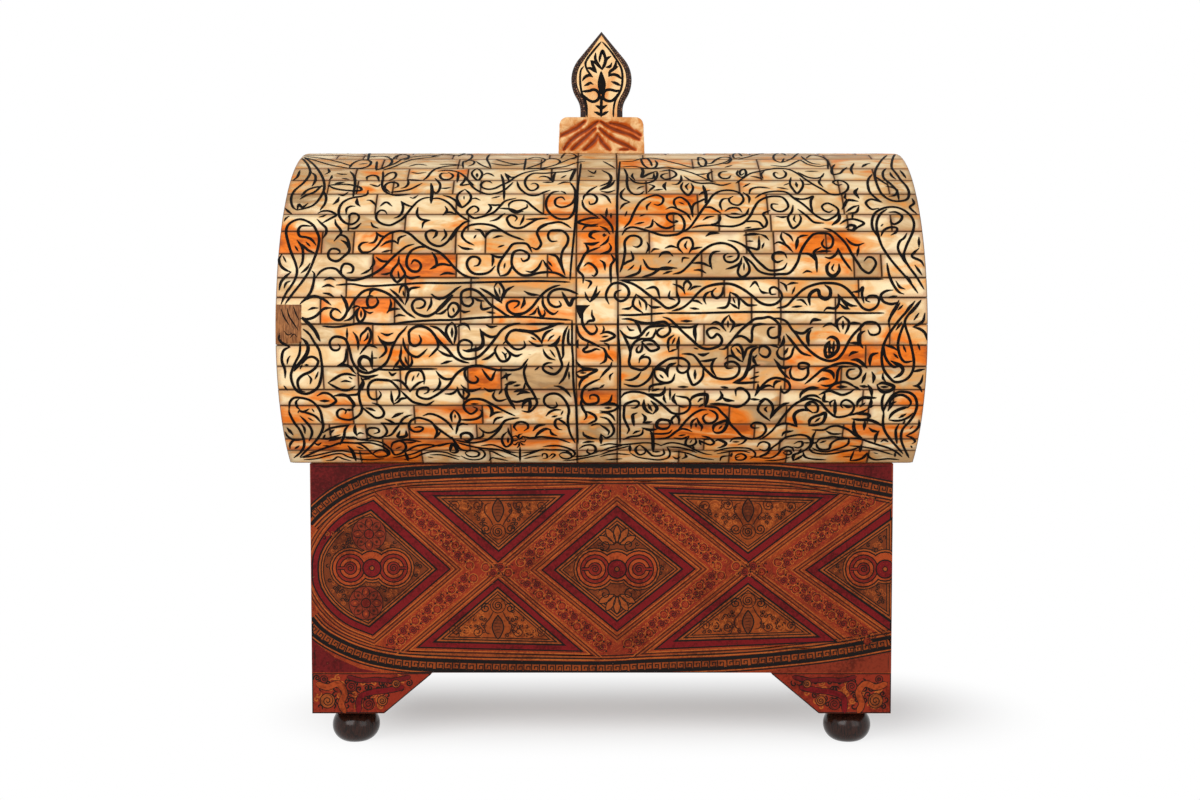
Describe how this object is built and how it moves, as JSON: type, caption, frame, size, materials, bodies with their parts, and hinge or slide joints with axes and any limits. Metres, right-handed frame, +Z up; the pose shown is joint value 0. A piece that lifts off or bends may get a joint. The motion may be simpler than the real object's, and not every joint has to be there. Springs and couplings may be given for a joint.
{
  "type": "treasure chest",
  "caption": "Small treasure chest with a round barrel lid of drawn bone tiles on staves, hinged to a painted bracket-footed box on bun feet, with a leaf finial.",
  "frame": {"origin": "centre of the chest's footprint, at the level of the surface it stands on", "axes": "+Z up, +X to the right along the lid's length, the front faces -Y and the hinges are at +Y"},
  "size_m": [0.36, 0.2248, 0.4273],
  "materials": {
    "bone": "polished camel bone, henna-stained and drawn in black",
    "painted_wood": "painted and lacquered wood",
    "bare_wood": "bare oiled wood",
    "dark_wood": "dark polished turned wood",
    "brass": "aged brass"
  },
  "bodies": {
    "base": {"front_panel": "painted_wood", "back_panel": "painted_wood", "left_panel": "painted_wood", "right_panel": "painted_wood", "floor_board": "bare_wood", "floor_cleats": "bare_wood", "corner_blocks": "bare_wood", "corner_dowels": "bare_wood", "bun_foot_front_left": "dark_wood", "bun_foot_front_right": "dark_wood", "bun_foot_back_left": "dark_wood", "bun_foot_back_right": "dark_wood", "hinge_leaf_base_left": "brass", "hinge_leaf_base_right": "brass", "hinge_pin_left": "brass", "hinge_pin_right": "brass", "hinge_screws_base": "brass"},
    "lid": {"lid_stave_01": "bare_wood", "lid_stave_02": "bare_wood", "lid_stave_03": "bare_wood", "lid_stave_04": "bare_wood", "lid_stave_05": "bare_wood", "lid_stave_06": "bare_wood", "lid_stave_07": "bare_wood", "lid_stave_08": "bare_wood", "lid_stave_09": "bare_wood", "lid_stave_10": "bare_wood", "lid_stave_11": "bare_wood", "lid_stave_12": "bare_wood", "lid_stave_13": "bare_wood", "bone_band_01": "bone", "bone_band_02": "bone", "bone_band_03": "bone", "bone_band_04": "bone", "bone_band_05": "bone", "bone_band_06": "bone", "bone_band_07": "bone", "bone_band_08": "bone", "bone_band_09": "bone", "bone_band_10": "bone", "bone_band_11": "bone", "bone_band_12": "bone", "bone_band_13": "bone", "lid_end_board_left": "bare_wood", "lid_end_board_right": "bare_wood", "bone_end_left": "bone", "bone_end_right": "bone", "lid_rail_front": "bare_wood", "lid_rail_back": "bare_wood", "finial_block": "bone", "finial_bud": "dark_wood", "finial_face_front": "bone", "finial_face_back": "bone", "finial_peg": "bare_wood", "hinge_leaf_lid_left": "brass", "hinge_leaf_lid_right": "brass", "hinge_screws_lid": "brass"}
  },
  "joints": [
    {"name": "lid_hinge", "type": "hinge", "parent": "base", "child": "lid", "pos_m": [0, 0.07586, 0.1642], "axis": [-1, 0, 0], "range_deg": [0, 75]}
  ]
}
